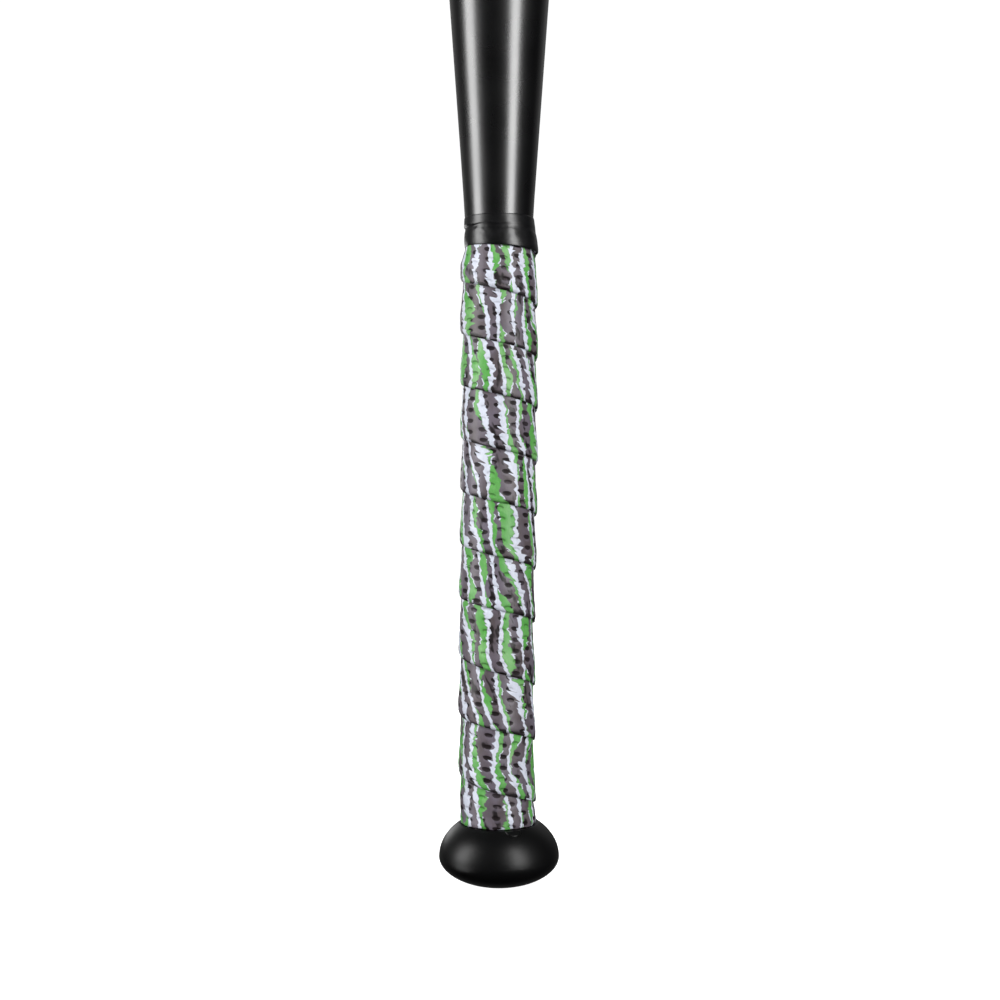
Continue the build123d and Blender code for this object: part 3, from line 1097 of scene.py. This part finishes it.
@dataclass
class FinishingBand:
    """Vinyl tape over the end of the grip: drawn in hard on the -X side, bulging on the +X side.

    A row of the grid runs once round the band's section. OUTER of it is the outer face, EDGE lies
    on each side of a rim, and the rest is the inner face.
    """

    thickness: float = 0.22 * MM
    tight_mm: tuple[tuple[float, float], ...] = (
        (0.0, 14.15), (0.07, 14.35), (0.30, 14.52), (0.48, 14.37), (0.58, 14.10), (0.635, 14.01),
        (0.71, 14.59), (0.82, 14.56), (1.0, 14.50),
    )
    loose_mm: tuple[tuple[float, float], ...] = (
        (0.0, 15.98), (0.08, 16.38), (0.30, 16.10), (0.48, 15.66), (0.58, 15.28), (0.635, 15.18),
        (0.71, 15.10), (0.82, 14.92), (1.0, 14.60),
    )
    low_mm: float = 262.45
    high_mm: float = 275.4
    slant_mm: float = 1.15
    crease: float = 0.10 * MM
    seed: float = 6.0
    columns: int = 240
    rows: int = 112

    OUTER = 0.5
    EDGE = 0.02
    RADIUS_MM = (14.0, 16.5)
    RIM_WAVE_MM = 0.4
    INPUTS = inputs(
        "Columns", "Rows", "Low", "High", "Slant", "Thickness", "Crease", "Seed",
    )

    def outline(self, tree: ShapeTree, share: Wire,
                points_mm: Sequence[tuple[float, float]]) -> Wire:
        """Read a radius off an outline.

        Args:
            tree: The tree that the nodes go to.
            share: Height in the band, from 0 to 1.
            points_mm: The outline's shares and radii.

        Returns:
            The radius.
        """
        least, most = self.RADIUS_MM
        points = [(x, (radius - least) / (most - least)) for x, radius in points_mm]
        curve = tree.out("ShaderNodeFloatCurve", {"points": points}, {1: share})
        return (curve * (most - least) + least) * MM

    def tree(self) -> ShapeTree:
        """Build the band's Geometry Nodes tree.

        Returns:
            The finished tree.
        """
        tree = ShapeTree("StretchedBand", self.INPUTS)
        grid = tree.out("GeometryNodeMeshGrid", sockets={
            "Size X": TURN, "Size Y": 1.0,
            "Vertices X": tree.input("Columns"), "Vertices Y": tree.input("Rows")})
        angle, y, _ = tree.split(tree.out("GeometryNodeInputPosition"))
        loop = y + 0.5
        share = tree.ramp(loop, 0.0, self.OUTER) - tree.ramp(loop, self.OUTER, 1.0)
        depth = tree.ramp(loop, self.OUTER - self.EDGE, self.OUTER + self.EDGE)
        depth = depth - tree.ramp(loop, 1 - self.EDGE, 1.0)
        around, beside = angle.calc("COSINE"), angle.calc("SINE")
        side = around * 0.5 + 0.5
        tight = self.outline(tree, share, self.tight_mm)
        loose = self.outline(tree, share, self.loose_mm)
        folds = tree.noise(tree.vector(around * 2.2, beside * 2.2, share * 2.5),
                           seed=tree.input("Seed"))
        pull = (folds - 0.5) * tree.input("Crease") * tree.ramp(share, 0.6, 1.0, 3.0, 0.5)
        radius = tight + (loose - tight) * side + pull - depth * tree.input("Thickness")
        low = tree.input("Low") - around * tree.input("Slant")
        high = tree.input("High") + abs(around) * self.RIM_WAVE_MM * MM
        wave = (folds - 0.5) * (1 - share) * (share * 5.0 + 0.5) * MM
        height = low + (high - low) * share + wave
        place = tree.vector(around * radius, beside * radius, height)
        lay = tree.vector(angle / TURN * 0.98 + 0.5, loop * 0.98 + 0.01)
        shape = tree.keep_map(grid, "OFBake", lay)
        shape = tree.out("GeometryNodeSetPosition", sockets={"Geometry": shape, "Position": place})
        tree.close(shape)
        return tree

    def build(self, finish: StretchedVinyl) -> bpy.types.Object:
        """Stretch the band over the grip's end in place of its CAD solid.

        Args:
            finish: The vinyl.

        Returns:
            The band.
        """
        band = self.tree().grow("finishing_band_vinyl", {
            "Columns": self.columns + 1, "Rows": self.rows, "Low": self.low_mm * MM,
            "High": self.high_mm * MM, "Slant": self.slant_mm * MM,
            "Thickness": self.thickness, "Crease": self.crease, "Seed": self.seed,
            "Material": finish.make(),
        })
        return stand_for(band, "finishing_band")


@dataclass
class BatBody:
    """The painted shell with its knob, weld and base disc."""

    shell: SprayedEnamel = SprayedEnamel("satin_black_enamel")
    knob: SprayedEnamel = SprayedEnamel(
        "matte_black_enamel", base=(0.0022, 0.0022, 0.0024), gloss=Gloss.EGGSHELL, mirror=0.28,
        peel_mm=1.4, peel_depth_mm=0.02)

    def build(self) -> None:
        """Dress the CAD nodes."""
        dress("bat_tube", self.shell.make())
        matte = self.knob.make()
        dress("knob", matte)
        dress("knob_weld", matte)
        dress("knob_disc", Moulding("disc_film", (0.012, 0.012, 0.013), Gloss.SATIN).make())
        dress("knob_plug", Moulding("plug_rubber", (0.015, 0.015, 0.015), Gloss.CHALKY).make())
        log.info("painted shell, knob, weld, disc and plug")


@dataclass
class BarrelEnd:
    """The moulded cap and its bond in the barrel's mouth."""

    def build(self) -> None:
        """Dress the CAD nodes."""
        dress("end_cap", Moulding("cap_moulding", (0.010, 0.010, 0.011), Gloss.EGGSHELL).make())
        dress("cap_bond_ring", Moulding("cap_urethane", (0.5, 0.42, 0.26), Gloss.EGGSHELL).make())
        log.info("end cap and its bond")


@dataclass
class HandleCore:
    """What the handle holds: the damper in its bore and the film under the tape."""

    def build(self) -> None:
        """Dress the CAD nodes."""
        dress("handle_damper", Moulding("damper_rubber", (0.07, 0.07, 0.07), Gloss.CHALKY).make())
        dress("grip_adhesive", Moulding("adhesive_film", (0.6, 0.5, 0.33), Gloss.SATIN).make())
        log.info("damper and adhesive film")


# ------------------------------------------------------------------------------- studio


@dataclass(frozen=True)
class StripLight:
    """A tall soft strip beside the bat.

    Its bearing is in degrees from the front towards +X, and it reaches from low to high. One that
    isn't mirrored lights the bat without a highlight.
    """

    name: str
    bearing: float
    power: float
    width: float
    low: float
    high: float
    distance: float = 1.3
    mirrored: bool = True

    def place(self) -> None:
        """Hang the strip, facing the bat."""
        lamp = bpy.data.lights.new(self.name, "AREA")
        lamp.shape = "RECTANGLE"
        lamp.size = self.width
        lamp.size_y = self.high - self.low
        lamp.energy = self.power
        holder = bpy.data.objects.new(self.name, lamp)
        bpy.context.scene.collection.objects.link(holder)
        turn = math.radians(self.bearing)
        centre = (self.low + self.high) / 2
        holder.location = (self.distance * math.sin(turn), -self.distance * math.cos(turn), centre)
        aim = Vector((0.0, 0.0, centre)) - holder.location
        holder.rotation_euler = aim.to_track_quat("-Z", "Y").to_euler()
        holder.visible_camera = False
        holder.visible_glossy = self.mirrored


@dataclass
class Studio:
    """Floor, lights, surroundings and camera."""

    camera_distance: float = 0.5787
    camera_height: float = 0.1587
    camera_side: float = 0.0004
    lens: float = 50.0
    floor_size: float = 30.0
    floor_gap: float = 0.2 * MM
    backdrop: float = 1.05
    glow_low: float = 0.10
    glow_high: float = 0.45
    fill_left: float = 0.32
    fill_right: float = 0.12
    strips: tuple[StripLight, ...] = (
        StripLight("strip_left", -74.5, 17.5, 0.60, 0.05, 1.15),
        StripLight("card_left", -74.5, 5.2, 0.60, -0.85, 0.05),
        StripLight("feather_left", -57.0, 0.9, 0.45, 0.05, 1.15),
        StripLight("strip_right", 39.0, 24.8, 0.50, -0.08, 1.45),
        StripLight("kicker_left", -150.0, 1.3, 0.45, 0.10, 0.42),
        StripLight("back_fill", 180.0, 16.0, 1.20, -0.10, 1.10, mirrored=False),
    )

    def build(self) -> None:
        """Set the whole studio up."""
        self.floor()
        self.surroundings()
        for strip in self.strips:
            strip.place()
        self.camera()
        bpy.context.scene.view_settings.view_transform = "Standard"
        log.info("studio ready")

    def floor(self) -> None:
        """Lay the pale floor, which only the camera sees."""
        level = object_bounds()[0][2] - self.floor_gap
        size = self.floor_size
        mesh = bpy.data.meshes.new("floor")
        corners = [(-size, -size, level), (size, -size, level), (size, size, level),
                   (-size, size, level)]
        mesh.from_pydata(corners, [], [(0, 1, 2, 3)])
        floor = bpy.data.objects.new("floor", mesh)
        bpy.context.scene.collection.objects.link(floor)
        coat = Coating("floor_white", (0.8, 0.8, 0.8), Gloss.CHALKY)
        coat.set("Emission Color", (1.0, 1.0, 1.0, 1.0))
        coat.set("Emission Strength", 1.0)
        mesh.materials.append(coat.material)
        floor.visible_diffuse = False
        floor.visible_glossy = False
        floor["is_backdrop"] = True

    def surroundings(self) -> None:
        """Make the world white to look at, dim in reflections and gently lit all round."""
        world = bpy.data.worlds.new("studio")
        world.use_nodes = True
        bpy.context.scene.world = world
        tree = Tree(world.node_tree)
        path = tree.node("ShaderNodeLightPath")
        seen = Wire(tree, path.outputs["Is Camera Ray"])
        soft = Wire(tree, path.outputs["Is Diffuse Ray"])
        side, ahead, up = tree.split(tree.out("ShaderNodeTexCoord", output="Generated"))
        behind = tree.ramp(ahead, 0.3, 0.95, smooth=True)
        back = behind * tree.ramp(up, 0.0, 0.6, self.glow_low, self.glow_high)
        dim = back + soft * tree.ramp(side, -1.0, 1.0, self.fill_left, self.fill_right)
        strength = dim.calc("MAXIMUM", seen * self.backdrop)
        background = world.node_tree.nodes["Background"]
        background.inputs["Color"].default_value = (1.0, 1.0, 1.0, 1.0)
        world.node_tree.links.new(strength.socket, background.inputs["Strength"])

    def camera(self) -> None:
        """Set the camera level with the middle of the grip."""
        lens = bpy.data.cameras.new("camera")
        lens.lens = self.lens
        camera = bpy.data.objects.new("camera", lens)
        bpy.context.scene.collection.objects.link(camera)
        camera.location = (self.camera_side, -self.camera_distance, self.camera_height)
        camera.rotation_euler = (math.radians(90.0), 0.0, 0.0)
        bpy.context.scene.camera = camera


def main() -> None:
    """Build the bat's looks piece by piece, then the studio around it."""
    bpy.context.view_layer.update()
    emboss = Embossing()
    BatBody().build()
    BarrelEnd().build()
    HandleCore().build()
    GripWinding(emboss=emboss).build(CamouflagePrint(emboss))
    FinishingBand().build(StretchedVinyl())
    Studio().build()


if __name__ == "__main__":
    main()
